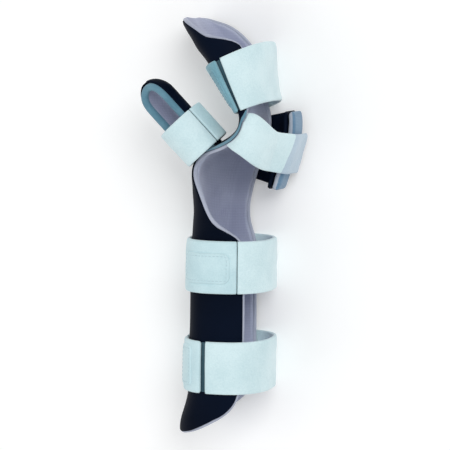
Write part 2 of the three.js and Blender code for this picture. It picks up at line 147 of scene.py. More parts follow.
# %% Sizes of the splint
FOREARM_LENGTH, PALM_LENGTH, FINGER_LENGTH = 148, 88, 100
PALM_TILT, FINGER_TILT, FINGER_CURL = 18, 24, 38
WRIST_BEND, KNUCKLE_BEND = 30, 28
FOREARM_WIDTH, FOREARM_DEPTH = 70, 60
HAND_WIDTH, HAND_DEPTH = 84, 56
PAN_WIDTH, PAN_DEPTH = 82, 34
ELBOW_FLARE, FLARE_LENGTH = 8, 34
SHELL_WALL, LINING_WALL, RIM_LIP = 2.2, 3.4, 1.8
STRAP_WALL, BOARD_WALL, PAD_WALL, GAP, FLATTEN = 3.2, 2.8, 6.0, 0.3, 1.1
SQUARENESS = 0.82
WRIST = FOREARM_LENGTH
KNUCKLES = FOREARM_LENGTH + PALM_LENGTH
TIP = KNUCKLES + FINGER_LENGTH
MIDDLE_JOINTS = KNUCKLES + FINGER_LENGTH * 0.48
STRAP_STACK = GAP + STRAP_WALL

FOREARM_ROWS = [
    (0.0, 0.94, 0.5, 0.5, 34, 30), (0.02, 0.96, 0.5, 0.5, 54, 48), (0.09, 1.0, 0.5, 0.5, 86, 78),
    (0.2, 1.0, 0.505, 0.495, 112, 100), (0.36, 1.0, 0.5, 0.5, 121, 108),
    (0.6, 0.99, 0.48, 0.51, 121, 108), (0.94, 0.97, 0.475, 0.51, 121, 108),
]
PALM_ROWS = [
    (0.0, 0.8, 0.49, 0.53, 112, 104), (0.12, 0.86, 0.475, 0.48, 82, 98),
    (0.3, 0.93, 0.565, 0.4, 54, 92), (0.5, 1.0, 0.645, 0.33, 23, 90),
    (0.62, 1.0, 0.6, 0.31, 30, 90), (0.74, 1.0, 0.41, 0.31, 50, 90),
    (0.86, 1.0, 0.24, 0.31, 68, 90),
]
FINGER_ROWS = [
    (0.0, 1.02, 0.23, 0.51, 84, 90), (0.1, 1.0, 0.17, 0.45, 104, 92),
    (0.3, 1.0, 0.28, 0.62, 122, 98), (0.52, 0.98, 0.42, 0.85, 124, 104),
    (0.7, 0.95, 0.5, 0.6, 88, 101), (0.86, 0.88, 0.42, 0.4, 74, 87),
    (0.95, 0.78, 0.34, 0.36, 65, 74), (0.985, 0.7, 0.3, 0.35, 54, 58),
    (1.0, 0.64, 0.28, 0.34, 40, 42),
]


def in_millimetres(rows, start, length, width, depth):
    """Rows of shares as rows of place, width, palm reach, back reach and the two wrap angles."""
    return [(start + length * at, width * w, depth * p, depth * b, thumb, little)
            for at, w, p, b, thumb, little in rows]


SECTIONS = np.array(
    in_millimetres(FOREARM_ROWS, 0, FOREARM_LENGTH, FOREARM_WIDTH, FOREARM_DEPTH)
    + in_millimetres(PALM_ROWS, WRIST, PALM_LENGTH, HAND_WIDTH, HAND_DEPTH)
    + in_millimetres(FINGER_ROWS, KNUCKLES, FINGER_LENGTH, PAN_WIDTH, PAN_DEPTH))
print("sections:", len(SECTIONS), "axis length:", TIP)


# %% Axis
def smooth(value):
    value = np.clip(value, 0, 1)
    return value * value * (3 - 2 * value)


def tilt_at(s):
    """Lean of the axis towards the back of the hand at s, in radians."""
    palm = PALM_TILT * smooth((s - WRIST + WRIST_BEND / 6) / WRIST_BEND)
    knuckle = (PALM_TILT + FINGER_TILT) * smooth((s - KNUCKLES) / KNUCKLE_BEND + 0.5)
    curl = FINGER_CURL * smooth((s - MIDDLE_JOINTS) / (TIP - MIDDLE_JOINTS))
    return np.radians(palm - knuckle - curl)


AXIS_STEPS = 240
axis_places = np.linspace(0, TIP, AXIS_STEPS + 1)
axis_tilts = tilt_at((axis_places[:-1] + axis_places[1:]) / 2)
AXIS_X = np.concatenate(([0], np.cumsum(np.sin(axis_tilts)))) * TIP / AXIS_STEPS
AXIS_Y = np.concatenate(([0], np.cumsum(np.cos(axis_tilts)))) * TIP / AXIS_STEPS - FOREARM_LENGTH


def section_at(s):
    """Width, palm reach, back reach, thumb wrap and little finger wrap at s, without overshoot."""
    stations = SECTIONS[:, 0]
    s = min(max(s, stations[0]), stations[-1])
    i = min(int(np.searchsorted(stations, s, side="right")) - 1, len(stations) - 2)
    slopes = np.diff(SECTIONS[:, 1:], axis=0) / np.diff(stations)[:, None]

    def tangent(k):
        if k <= 0 or k >= len(stations) - 1:
            return slopes[min(max(k, 0), len(stations) - 2)]
        before, after = slopes[k - 1], slopes[k]
        both = before * after
        return np.where(both <= 0, 0, 2 * both / np.where(both <= 0, 1, before + after))

    span = stations[i + 1] - stations[i]
    t = (s - stations[i]) / span
    row = ((2 * t ** 3 - 3 * t ** 2 + 1) * SECTIONS[i, 1:]
           + (t ** 3 - 2 * t ** 2 + t) * span * tangent(i)
           + (3 * t ** 2 - 2 * t ** 3) * SECTIONS[i + 1, 1:]
           + (t ** 3 - t ** 2) * span * tangent(i + 1))
    row[1] += ELBOW_FLARE * smooth(1 - s / FLARE_LENGTH)
    return row


def place(s, across, height):
    """Points of the section plane at s, in the frame of the part."""
    x = np.interp(s, axis_places, AXIS_X)
    y = np.interp(s, axis_places, AXIS_Y)
    tilt = tilt_at(np.asarray(s, float))
    return np.stack([
        x + across * np.cos(tilt) + OFFSET.x,
        y - across * np.sin(tilt) + OFFSET.y,
        np.broadcast_to(height, np.shape(across)),
    ], axis=-1)


def rounded(value):
    return np.sign(value) * np.abs(value) ** SQUARENESS


def outline(s, angles, out):
    """Across and height of the surface that lies `out` beyond the shell at s."""
    width, palm, back = section_at(s)[:3]
    turn = np.radians(angles)
    reach = np.where(np.cos(turn) > 0, palm, back)
    middle = STRAP_STACK - FLATTEN + width / 2
    height = middle + rounded(np.sin(turn)) * (width / 2 + out)
    return -rounded(np.cos(turn)) * (reach + out), np.maximum(height, np.maximum(STRAP_STACK - out, 0))


def trough_ring(s, angles, out):
    across, height = outline(s, angles, out)
    return place(s, across, height)


END_CORNER = 4.0  # radius of the trough's corners, in millimetres


def wraps(s):
    """Angles between which the trough runs, from the little finger side to the thumb side."""
    row = section_at(s)
    nearest = min(s, TIP - s, END_CORNER)
    cut = END_CORNER - math.sqrt(max(END_CORNER ** 2 - (END_CORNER - nearest) ** 2, 0))
    cut = math.degrees(cut / (row[0] / 2))
    return cut - row[4], row[3] - cut


print("fingertips at", np.round(place(TIP, 0.0, 40.0), 1))

# %% [markdown]
# ## One builder for every wall
# The shell, the lining, the straps and the tabs are all slabs: a thin wall with a soft edge. A slab
# is a grid of points in the middle of the wall, and each point is pushed out to both sides by half
# the thickness. Close to an edge the thickness falls off along a quarter circle, so that both sides
# meet in a round edge. The grid is finer there, which keeps the edge round in a close view.


# %% Slab builder
def edge_clustered(length, radius, fine, coarse_step):
    """Distances from 0 to length, close together within radius of both ends."""
    radius = min(radius, length / 2.2)
    near = radius * (1 - np.cos(np.linspace(0, math.pi / 2, fine + 1)))
    count = max(int(math.ceil((length - 2 * radius) / coarse_step)), 1)
    middle = np.linspace(radius, length - radius, count + 1)[1:-1]
    return np.concatenate((near, middle, length - near[::-1]))


def mesh_object(name, points, faces, material):
    mesh = bpy.data.meshes.new(name)
    mesh.from_pydata([tuple(p) for p in np.asarray(points) * MM], [], faces)
    mesh.validate()
    mesh.shade_smooth()
    piece = bpy.data.objects.new(name, mesh)
    bpy.context.scene.collection.objects.link(piece)
    if material:
        mesh.materials.append(material)
    return piece


def face_outwards(piece):
    """Turns the faces of a closed mesh outwards."""
    work = bmesh.new()
    work.from_mesh(piece.data)
    bmesh.ops.recalc_face_normals(work, faces=work.faces)
    if work.calc_volume(signed=True) < 0:
        bmesh.ops.reverse_faces(work, faces=work.faces)
    work.to_mesh(piece.data)
    work.free()
    return piece


def slab(name, ring, places, limits, middle, half, material, radius=None, end_radius=None,
         fine=4, step=3.0, relief=None, samples=160):
    """A closed wall. ring(s, u, out) gives points, limits(s) the two ends of u at s, middle and half
    the wall's middle surface and half its thickness, and relief(s, u, side) what is added to out."""
    radius = half if radius is None else radius
    end_radius = radius if end_radius is None else end_radius
    places = np.asarray(places, float)
    run = np.abs(places - places[0])
    rest = run[-1] - run
    rows = []
    longest = 0
    for s in places:
        low, high = limits(s)
        u = np.linspace(low, high, samples)
        path = ring(s, u, np.full(samples, middle))
        lengths = np.concatenate(([0], np.cumsum(np.linalg.norm(np.diff(path, axis=0), axis=1))))
        rows.append((s, u, lengths))
        longest = max(longest, lengths[-1])
    template = edge_clustered(longest, radius, fine, step)
    across = len(template)
    radius = min(radius, longest / 2.2)
    outer, inner, falls = [], [], []
    for row, (s, u, lengths) in enumerate(rows):
        total = lengths[-1]
        share_radius = min(radius, total / 2.2)
        near = template <= radius * 1.0001
        far = template >= longest - radius * 1.0001
        here = np.interp(template, [radius, longest - radius], [share_radius, total - share_radius])
        here = np.where(near, template * share_radius / radius, here)
        here = np.where(far, total - (longest - template) * share_radius / radius, here)
        angle = np.interp(here, lengths, u)
        side = 1 - np.clip(np.minimum(here, total - here) / share_radius, 0, 1)
        end = 1 - min(min(run[row], rest[row]) / end_radius, 1)
        fall = np.sqrt(np.clip(1 - side ** 2 - end ** 2, 0, 1))
        falls.append(fall)
        extra_out = relief(s, angle, 1) if relief else 0
        extra_in = relief(s, angle, -1) if relief else 0
        outer.append(ring(s, angle, middle + (half + extra_out) * fall))
        inner.append(ring(s, angle, middle - (half + extra_in) * fall))
    outer, inner = np.array(outer), np.array(inner)
    count = len(places)
    index_out = np.arange(count * across).reshape(count, across)
    index_in = index_out.copy()
    points = [outer.reshape(-1, 3)]
    inner_core = inner[1:-1, 1:-1]
    index_in[1:-1, 1:-1] = count * across + np.arange(inner_core.shape[0] * inner_core.shape[1]).reshape(
        inner_core.shape[:2])
    points.append(inner_core.reshape(-1, 3))
    faces = []
    for k in range(count - 1):
        for i in range(across - 1):
            out, inn = index_out[k:k + 2, i:i + 2], index_in[k:k + 2, i:i + 2]
            faces.append((out[0, 0], out[0, 1], out[1, 1], out[1, 0]))
            faces.append((inn[0, 0], inn[1, 0], inn[1, 1], inn[0, 1]))
    piece = mesh_object(name, np.concatenate(points), [tuple(int(v) for v in f) for f in faces], material)
    rubbed = 1 - np.array(falls)
    edge_values = piece.data.attributes.new("edge", "FLOAT", "POINT")
    edge_values.data.foreach_set("value", np.concatenate((rubbed.ravel(), rubbed[1:-1, 1:-1].ravel())))
    return face_outwards(piece)


def finish_piece(piece, slot, *nodes):
    """Rides the piece on the splint and lets it stand for its solids."""
    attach(piece, "root")
    if nodes:
        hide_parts(*nodes)
    print(piece.name, len(piece.data.polygons), "faces")
    return piece

# %% [markdown]
# ## Shared surface patterns
# The splint shows four surfaces close up: the looped pile of the straps, the fine knit over the
# foam, the woven hook tabs and the grain of the moulded shell. Each pattern is a node group that puts
# out a height for the bump and a slow tone for the colour, so one group serves several materials.


# %% Group helper
def new_group(name, inputs, outputs):
    """An empty shader group with named number sockets."""
    group = bpy.data.node_groups.new(name, "ShaderNodeTree")
    for label, value in inputs:
        socket = group.interface.new_socket(label, in_out="INPUT", socket_type="NodeSocketFloat")
        socket.default_value = value
    for label in outputs:
        group.interface.new_socket(label, in_out="OUTPUT", socket_type="NodeSocketFloat")
    return group, group.nodes.new("NodeGroupInput"), group.nodes.new("NodeGroupOutput")


def math_node(tree, operation, a, b):
    """A Math node whose two inputs are sockets or numbers."""
    node = tree.nodes.new("ShaderNodeMath")
    node.operation = operation
    for socket, value in zip(node.inputs, (a, b)):
        if isinstance(value, (int, float)):
            socket.default_value = value
        else:
            tree.links.new(value, socket)
    return node.outputs[0]


def noise_node(tree, where, scale, detail=2.0):
    node = tree.nodes.new("ShaderNodeTexNoise")
    node.inputs["Detail"].default_value = detail
    tree.links.new(where, node.inputs["Vector"])
    tree.links.new(scale, node.inputs["Scale"])
    return node.outputs["Fac"]


# %% Loop pile, knit and grain
def pile_group():
    """Short crushed loops: small clumps with dark gaps, and slow mottling."""
    tree, come, go = new_group("loop_pile", [("Scale", 900.0)], ["Height", "Tone"])
    where = tree.nodes.new("ShaderNodeTexCoord").outputs["Object"]
    cells = tree.nodes.new("ShaderNodeTexVoronoi")
    tree.links.new(where, cells.inputs["Vector"])
    tree.links.new(math_node(tree, "MULTIPLY", come.outputs["Scale"], 1.3), cells.inputs["Scale"])
    clumps = noise_node(tree, where, come.outputs["Scale"], 3.0)
    gaps = math_node(tree, "MULTIPLY", cells.outputs["Distance"], -0.5)
    tree.links.new(math_node(tree, "ADD", clumps, gaps), go.inputs["Height"])
    slow = noise_node(tree, where, math_node(tree, "MULTIPLY", come.outputs["Scale"], 0.05), 3.0)
    fast = math_node(tree, "MULTIPLY", clumps, 0.45)
    tree.links.new(math_node(tree, "ADD", math_node(tree, "MULTIPLY", slow, 0.75), fast), go.inputs["Tone"])
    return tree


def knit_group():
    """Two crossing rows of waves, as in a fine jersey or a narrow woven tape."""
    tree, come, go = new_group("fine_knit", [("Scale", 300.0)], ["Height", "Tone"])
    where = tree.nodes.new("ShaderNodeTexCoord").outputs["Object"]
    rows = []
    for direction in ("X", "Y", "Z"):
        wave = tree.nodes.new("ShaderNodeTexWave")
        wave.bands_direction = direction
        wave.inputs["Distortion"].default_value = 1.4
        wave.inputs["Detail Scale"].default_value = 2.0
        tree.links.new(where, wave.inputs["Vector"])
        tree.links.new(come.outputs["Scale"], wave.inputs["Scale"])
        rows.append(wave.outputs["Fac"])
    both = math_node(tree, "MULTIPLY", rows[0], rows[1])
    cross = math_node(tree, "MAXIMUM", both, math_node(tree, "MULTIPLY", rows[1], rows[2]))
    tree.links.new(cross, go.inputs["Height"])
    slow = noise_node(tree, where, math_node(tree, "MULTIPLY", come.outputs["Scale"], 0.16), 3.0)
    tree.links.new(math_node(tree, "ADD", math_node(tree, "MULTIPLY", slow, 0.8),
                             math_node(tree, "MULTIPLY", cross, 0.25)), go.inputs["Tone"])
    return tree


def grain_group():
    """Pebbled mould grain with a slow unevenness."""
    tree, come, go = new_group("mould_grain", [("Scale", 700.0)], ["Height", "Tone"])
    where = tree.nodes.new("ShaderNodeTexCoord").outputs["Object"]
    pebbles = tree.nodes.new("ShaderNodeTexVoronoi")
    pebbles.feature = "DISTANCE_TO_EDGE"
    tree.links.new(where, pebbles.inputs["Vector"])
    tree.links.new(come.outputs["Scale"], pebbles.inputs["Scale"])
    flat_tops = math_node(tree, "MINIMUM", pebbles.outputs["Distance"], 0.25)
    slow = noise_node(tree, where, math_node(tree, "MULTIPLY", come.outputs["Scale"], 0.03), 4.0)
    swell = math_node(tree, "MULTIPLY", slow, 0.3)
    tree.links.new(math_node(tree, "ADD", flat_tops, swell), go.inputs["Height"])
    tree.links.new(slow, go.inputs["Tone"])
    return tree


def wear_group():
    """Rubbed edges: the edge value of a wall, broken up by noise."""
    tree, come, go = new_group("edge_wear", [("Edge", 0.0), ("Scale", 160.0), ("Amount", 0.5)], ["Mask"])
    where = tree.nodes.new("ShaderNodeTexCoord").outputs["Object"]
    patches = noise_node(tree, where, come.outputs["Scale"], 4.0)
    broken = math_node(tree, "MULTIPLY", come.outputs["Edge"], patches)
    mask = tree.nodes.new("ShaderNodeClamp")
    tree.links.new(math_node(tree, "MULTIPLY", broken, come.outputs["Amount"]), mask.inputs["Value"])
    tree.links.new(mask.outputs[0], go.inputs["Mask"])
    return tree


PATTERNS = {"pile": pile_group(), "knit": knit_group(), "grain": grain_group()}
WEAR = wear_group()
print("patterns:", list(PATTERNS))


# %% Material builder
def surface_material(name, pattern, scale, low, high, edge, roughness, bump, depth, sheen=0.0,
                     wear=0.6, specular=0.5):
    """low and high are the colours between which the tone moves, and edge that of rubbed edges.
    bump is the strength and depth the height of the pattern, in metres."""
    material = bpy.data.materials.new(name)
    material.use_nodes = True
    tree = material.node_tree
    shader = tree.nodes["Principled BSDF"]
    shader.inputs["Roughness"].default_value = roughness
    shader.inputs["Specular IOR Level"].default_value = specular
    shader.inputs["Sheen Weight"].default_value = sheen
    shader.inputs["Sheen Roughness"].default_value = 0.5
    cloth = tree.nodes.new("ShaderNodeGroup")
    cloth.node_tree = PATTERNS[pattern]
    cloth.inputs["Scale"].default_value = scale
    ramp = tree.nodes.new("ShaderNodeValToRGB")
    ramp.color_ramp.elements[0].position = 0.32
    ramp.color_ramp.elements[0].color = (*low, 1)
    ramp.color_ramp.elements[1].position = 0.72
    ramp.color_ramp.elements[1].color = (*high, 1)
    tree.links.new(cloth.outputs["Tone"], ramp.inputs["Fac"])
    edge_value = tree.nodes.new("ShaderNodeAttribute")
    edge_value.attribute_name = "edge"
    rubbed = tree.nodes.new("ShaderNodeGroup")
    rubbed.node_tree = WEAR
    rubbed.inputs["Amount"].default_value = wear
    tree.links.new(edge_value.outputs["Fac"], rubbed.inputs["Edge"])
    mix = tree.nodes.new("ShaderNodeMix")
    mix.data_type = "RGBA"
    tree.links.new(rubbed.outputs["Mask"], mix.inputs[0])
    tree.links.new(ramp.outputs["Color"], mix.inputs[6])
    mix.inputs[7].default_value = (*edge, 1)
    tree.links.new(mix.outputs[2], shader.inputs["Base Color"])
    relief = tree.nodes.new("ShaderNodeBump")
    relief.inputs["Strength"].default_value = bump
    relief.inputs["Distance"].default_value = depth
    tree.links.new(cloth.outputs["Height"], relief.inputs["Height"])
    tree.links.new(relief.outputs["Normal"], shader.inputs["Normal"])
    return material


SHELL_FINISH = surface_material("moulded_navy", "grain", 620,
                                (0.0004, 0.0025, 0.0090), (0.0014, 0.0052, 0.0170),
                                (0.006, 0.012, 0.028), 0.6, 0.35, 0.0003, specular=0.05)
LINING_FINISH = surface_material("lavender_knit", "knit", 260, (0.300, 0.320, 0.450), (0.420, 0.450, 0.580),
                                 (0.620, 0.680, 0.780), 0.92, 0.35, 0.0003, sheen=0.25)
ROLL_FINISH = surface_material("pale_roll", "knit", 330, (0.360, 0.390, 0.490), (0.500, 0.530, 0.630),
                               (0.620, 0.680, 0.760), 0.88, 0.4, 0.0003, sheen=0.2)
# The roll's cloth painted darker and bluer than the pale roll: painted shade, used where the roll turns
# away from the light.
SHADED_ROLL_FINISH = surface_material("painted_shade_roll", "knit", 330,
                                     (0.085, 0.210, 0.290), (0.160, 0.330, 0.420),
                                     (0.300, 0.450, 0.540), 0.88, 0.4, 0.0003, sheen=0.2)
STRAP_FINISH = surface_material("ice_loop_pile", "pile", 760, (0.540, 0.730, 0.770), (0.690, 0.860, 0.890),
                                (0.760, 0.900, 0.920), 0.95, 0.5, 0.0005, sheen=0.35)
TAB_FINISH = surface_material("ice_tab", "pile", 980, (0.470, 0.670, 0.720), (0.610, 0.800, 0.840),
                              (0.720, 0.870, 0.900), 0.93, 0.45, 0.0004, sheen=0.3)
# The finger tab's cloth, painted darker than the other tabs: painted shade for its side that faces away
# from the light.
SHADED_TAB_FINISH = surface_material("painted_shade_tab", "pile", 980, (0.120, 0.290, 0.360), (0.210, 0.430, 0.510),
                                     (0.400, 0.600, 0.680), 0.93, 0.45, 0.0004, sheen=0.3)
# Blue-grey cover: painted sheen, the light that the navy cloth of the wing catches.
PAD_SHEEN_FINISH = surface_material("painted_sheen_cover", "knit", 280, (0.105, 0.205, 0.320), (0.170, 0.300, 0.440),
                              (0.440, 0.490, 0.565), 0.9, 0.4, 0.0003, sheen=0.25, wear=3.0)
# The strap's loop pile painted greyer: painted shade for the hand strap's end that turns away from the
# light on the wing.
STRAP_SHADE_FINISH = surface_material("painted_shade_loop_pile", "pile", 760,
                                    (0.380, 0.500, 0.600), (0.500, 0.620, 0.720),
                                    (0.600, 0.700, 0.780), 0.95, 0.5, 0.0005, sheen=0.3)
THREAD_FINISH = surface_material("sewing_thread", "knit", 900, (0.430, 0.590, 0.640), (0.560, 0.720, 0.770),
                                 (0.600, 0.760, 0.800), 0.8, 0.3, 0.0001, sheen=0.2)
print("materials:", len(bpy.data.materials))

# %% [markdown]
# ## Rolls and stitches that follow a path
# The foam's edge is bound with a round roll, and the tabs are sewn down with single stitches. Both
# follow a line, so Geometry Nodes make them: one tree sweeps a circle along the line, and the other
# sets a small capsule at even steps. The tree's result is turned into a plain mesh at the end.


# %% Geometry node trees
def geometry_tree(name, inputs):
    """A modifier tree with a geometry in and out and named number inputs."""
    tree = bpy.data.node_groups.new(name, "GeometryNodeTree")
    tree.interface.new_socket("Geometry", in_out="INPUT", socket_type="NodeSocketGeometry")
    for label, kind, value in inputs:
        socket = tree.interface.new_socket(label, in_out="INPUT", socket_type=kind)
        if value is not None:
            socket.default_value = value
    tree.interface.new_socket("Geometry", in_out="OUTPUT", socket_type="NodeSocketGeometry")
    return tree, tree.nodes.new("NodeGroupInput"), tree.nodes.new("NodeGroupOutput")


def path_curve(tree, come, step):
    """The line of the input mesh as a curve with points at even steps."""
    curve = tree.nodes.new("GeometryNodeMeshToCurve")
    tree.links.new(come.outputs["Geometry"], curve.inputs["Mesh"])
    even = tree.nodes.new("GeometryNodeResampleCurve")
    even.mode = "LENGTH"
    tree.links.new(curve.outputs["Curve"], even.inputs["Curve"])
    tree.links.new(step, even.inputs["Length"])
    return even.outputs["Curve"]


def close_tree(tree, go, geometry, material):
    real = tree.nodes.new("GeometryNodeRealizeInstances")
    paint = tree.nodes.new("GeometryNodeSetMaterial")
    tree.links.new(geometry, real.inputs["Geometry"])
    tree.links.new(real.outputs["Geometry"], paint.inputs["Geometry"])
    tree.links.new(material, paint.inputs["Material"])
    tree.links.new(paint.outputs["Geometry"], go.inputs["Geometry"])


def roll_tree():
    tree, come, go = geometry_tree("edge_roll", [
        ("Radius", "NodeSocketFloat", 0.002), ("Step", "NodeSocketFloat", 0.002),
        ("Material", "NodeSocketMaterial", None)])
    circle = tree.nodes.new("GeometryNodeCurvePrimitiveCircle")
    circle.inputs["Resolution"].default_value = 14
    tree.links.new(come.outputs["Radius"], circle.inputs["Radius"])
    sweep = tree.nodes.new("GeometryNodeCurveToMesh")
    tree.links.new(path_curve(tree, come, come.outputs["Step"]), sweep.inputs["Curve"])
    tree.links.new(circle.outputs["Curve"], sweep.inputs["Profile Curve"])
    sweep.inputs["Fill Caps"].default_value = True
    close_tree(tree, go, sweep.outputs["Mesh"], come.outputs["Material"])
    return tree


def stitch_tree():
    tree, come, go = geometry_tree("stitches", [
        ("Pitch", "NodeSocketFloat", 0.003), ("Length", "NodeSocketFloat", 0.0021),
        ("Thickness", "NodeSocketFloat", 0.0004), ("Material", "NodeSocketMaterial", None)])
    spots = tree.nodes.new("GeometryNodeCurveToPoints")
    spots.mode = "EVALUATED"
    tree.links.new(path_curve(tree, come, come.outputs["Pitch"]), spots.inputs["Curve"])
    ball = tree.nodes.new("GeometryNodeMeshUVSphere")
    ball.inputs["Segments"].default_value = 6
    ball.inputs["Rings"].default_value = 5
    ball.inputs["Radius"].default_value = 1.0
    size = tree.nodes.new("ShaderNodeCombineXYZ")
    for axis, label, share in (("X", "Thickness", 1.0), ("Y", "Thickness", 1.0), ("Z", "Length", 0.5)):
        tree.links.new(math_node(tree, "MULTIPLY", come.outputs[label], share), size.inputs[axis])
    copies = tree.nodes.new("GeometryNodeInstanceOnPoints")
    tree.links.new(spots.outputs["Points"], copies.inputs["Points"])
    tree.links.new(spots.outputs["Rotation"], copies.inputs["Rotation"])
    tree.links.new(ball.outputs["Mesh"], copies.inputs["Instance"])
    tree.links.new(size.outputs[0], copies.inputs["Scale"])
    close_tree(tree, go, copies.outputs["Instances"], come.outputs["Material"])
    return tree


ROLL_TREE = roll_tree()
STITCH_TREE = stitch_tree()


def grow(name, lines, tree, values):
    """Runs a tree on lines of points, each (points, closed), and returns a plain mesh object."""
    points, edges = [], []
    for line, closed in lines:
        first = len(points)
        points.extend(tuple(p) for p in np.asarray(line) * MM)
        count = len(line)
        edges.extend((first + i, first + i + 1) for i in range(count - 1))
        if closed:
            edges.append((first + count - 1, first))
    mesh = bpy.data.meshes.new(name + "_line")
    mesh.from_pydata(points, edges, [])
    carrier = bpy.data.objects.new(name + "_line", mesh)
    bpy.context.scene.collection.objects.link(carrier)
    modifier = carrier.modifiers.new("grow", "NODES")
    modifier.node_group = tree
    for item in tree.interface.items_tree:
        if item.item_type == "SOCKET" and item.in_out == "INPUT" and item.name in values:
            modifier[item.identifier] = values[item.name]
    bpy.context.view_layer.update()
    depsgraph = bpy.context.evaluated_depsgraph_get()
    made = bpy.data.meshes.new_from_object(carrier.evaluated_get(depsgraph))
    made.name = name
    bpy.data.objects.remove(carrier)
    bpy.data.meshes.remove(mesh)
    made.shade_smooth()
    piece = bpy.data.objects.new(name, made)
    bpy.context.scene.collection.objects.link(piece)
    print(name, len(made.polygons), "faces")
    return face_outwards_each(piece)


def face_outwards_each(piece):
    """Recalculates normals of a mesh made of many closed bodies."""
    work = bmesh.new()
    work.from_mesh(piece.data)
    bmesh.ops.remove_doubles(work, verts=work.verts, dist=1e-7)
    bmesh.ops.recalc_face_normals(work, faces=work.faces)
    work.to_mesh(piece.data)
    work.free()
    return piece


def softened(line, closed, times):
    """The line with its corners eased, by averaging each point with its neighbours."""
    line = np.array(line, float)
    for _ in range(times):
        before, after = np.roll(line, 1, axis=0), np.roll(line, -1, axis=0)
        eased = (before + 2 * line + after) / 4
        if not closed:
            eased[0], eased[-1] = line[0], line[-1]
        line = eased
    return line


# %% [markdown]
# ## Shell and foam lining
# The shell is one moulded wall about two millimetres thick, so it is one slab whose ends follow the
# wrap angles. The lining lies inside it. Real foam is never quite even, so its inner face swells a
# little between the edges. A pale roll covers both edges all the way round the trough.


# %% Trough
def unevenness(s, u, seed):
    """A slow ripple between -1 and 1 over a wall, the same in each run."""
    return (np.sin(0.075 * u + seed) + np.sin(0.052 * u + 0.13 * s + 2.1 * seed)
            + np.sin(0.19 * s - 0.03 * u + 1.3 * seed)) / 3


def dents(s, u, seed):
    """Small shallow dents between -1 and 1, as in cloth that has been handled."""
    return np.sin(0.33 * s + 0.11 * u + seed) * np.sin(0.21 * u - 0.17 * s + 1.7 * seed)


def cloth_relief(swell, dent, seed, turn=1.0):
    """The relief of a strap's outer face: slow swells and small dents, in millimetres."""
    return lambda s, u, side: (swell * unevenness(s, turn * u, seed)
                               + dent * dents(s, turn * u, seed)) if side > 0 else 0


def places_with_edges(first, last, radius, fine, step):
    return first + edge_clustered(last - first, radius, fine, step)


trough_places = np.unique(np.concatenate((
    places_with_edges(0, TIP, SHELL_WALL / 2, 4, 2.4),
    np.linspace(0.6, 6, 10), np.linspace(TIP - 6, TIP - 0.6, 10))))
shell = slab("shell_wall", trough_ring, trough_places, wraps, -SHELL_WALL / 2, SHELL_WALL / 2,
             SHELL_FINISH, step=2.6)
finish_piece(shell, "shell", "shell")

LINING_OUT = -(SHELL_WALL + GAP)
lining = slab("foam_lining", trough_ring, trough_places, wraps, LINING_OUT - LINING_WALL / 2,
              LINING_WALL / 2, LINING_FINISH, step=2.6,
              relief=lambda s, u, side: 0.28 * unevenness(s, u, 0.7) if side < 0 else 0)
finish_piece(lining, "lining", "shell_lining")

# %% Roll round the trough
ROLL_RADIUS = 1.55
ROLL_OUT = -2.4


def trough_edge():
    """The closed line of the trough's edge, up the thumb side and down the little finger side."""
    along = np.linspace(0, TIP, 200)
    thumb_side, little_side = [], []
    for s in along:
        low, high = wraps(s)
        per_degree = math.radians(section_at(s)[0] / 2)
        thumb_side.append(trough_ring(s, np.array([high + 0.4 / per_degree]), ROLL_OUT)[0])
        little_side.append(trough_ring(s, np.array([low - 0.4 / per_degree]), ROLL_OUT)[0])
    low, high = wraps(TIP)
    top_end = [trough_ring(TIP, np.array([a]), ROLL_OUT)[0] for a in np.linspace(high, low, 24)[1:-1]]
    low, high = wraps(0)
    elbow_end = [trough_ring(0, np.array([a]), ROLL_OUT)[0] for a in np.linspace(low, high, 24)[1:-1]]
    return np.array(thumb_side + top_end + little_side[::-1] + elbow_end)


trough_roll = grow("trough_roll", [(softened(trough_edge(), True, 6), True)], ROLL_TREE, {
    "Radius": ROLL_RADIUS * MM, "Step": 1.6 * MM, "Material": ROLL_FINISH})
finish_piece(trough_roll, "lining")

# %% Web binding
WEB_NEAR, WEB_FAR, WEB_BAND, WEB_WALL = KNUCKLES - 34, KNUCKLES + 9, 8.5, 1.1


def web_limits(s):
    """The band narrows to nothing at both ends."""
    low, high = wraps(s)
    share = math.sqrt(max(math.sin(math.pi * (s - WEB_NEAR + 1) / (WEB_FAR - WEB_NEAR + 2)), 0.05))
    return high - math.degrees(WEB_BAND * share / (section_at(s)[0] / 2)), high + 1.2


# The web binding takes the painted shade roll finish.
web_binding = slab("web_binding", trough_ring, places_with_edges(WEB_NEAR, WEB_FAR, WEB_WALL / 2, 3, 1.8),
                   web_limits, WEB_WALL / 2 - 0.1, WEB_WALL / 2, SHADED_ROLL_FINISH, step=1.8)
finish_piece(web_binding, "lining")

# %% [markdown]
# ## Straps and tabs
# Three wide straps ring the trough. They are soft loop cloth about three millimetres thick, so their
# edges are round and their faces ripple and dent a little. A hook tab closes each one. Where a slot
# stays open beside the tab, a thin tongue of the strap shows in it, painted near black as painted
# shade for the shadow in the slot. On each tab lies a sewn patch, a raised rounded rectangle with a
# row of stitches inside its edge.

# %% Ring straps
SLOT, BUTT = 4.4, 0.5
RINGS = {
    "forearm": {"near": WRIST - 115, "width": 39, "tab": (8, 73), "slot": SLOT, "seed": 0.3},
    "wrist": {"near": WRIST - 40.5, "width": 39, "tab": (16, 111), "slot": BUTT, "seed": 1.9},
    "finger": {"near": KNUCKLES + 10, "width": 41, "tab": (36, 88), "slot": SLOT, "seed": 3.4},
}
STRAP_MIDDLE = GAP + STRAP_WALL / 2


def angle_of(s, length):
    """Degrees round the section that a length takes on its side."""
    return math.degrees(length / (section_at(s)[0] / 2))


def corner_cut(s, first, last, radius):
    """How far a rounded corner takes the end of a wall back at s."""
    near = radius - min(s - first, last - s, radius)
    return radius - math.sqrt(max(radius ** 2 - near ** 2, 0))


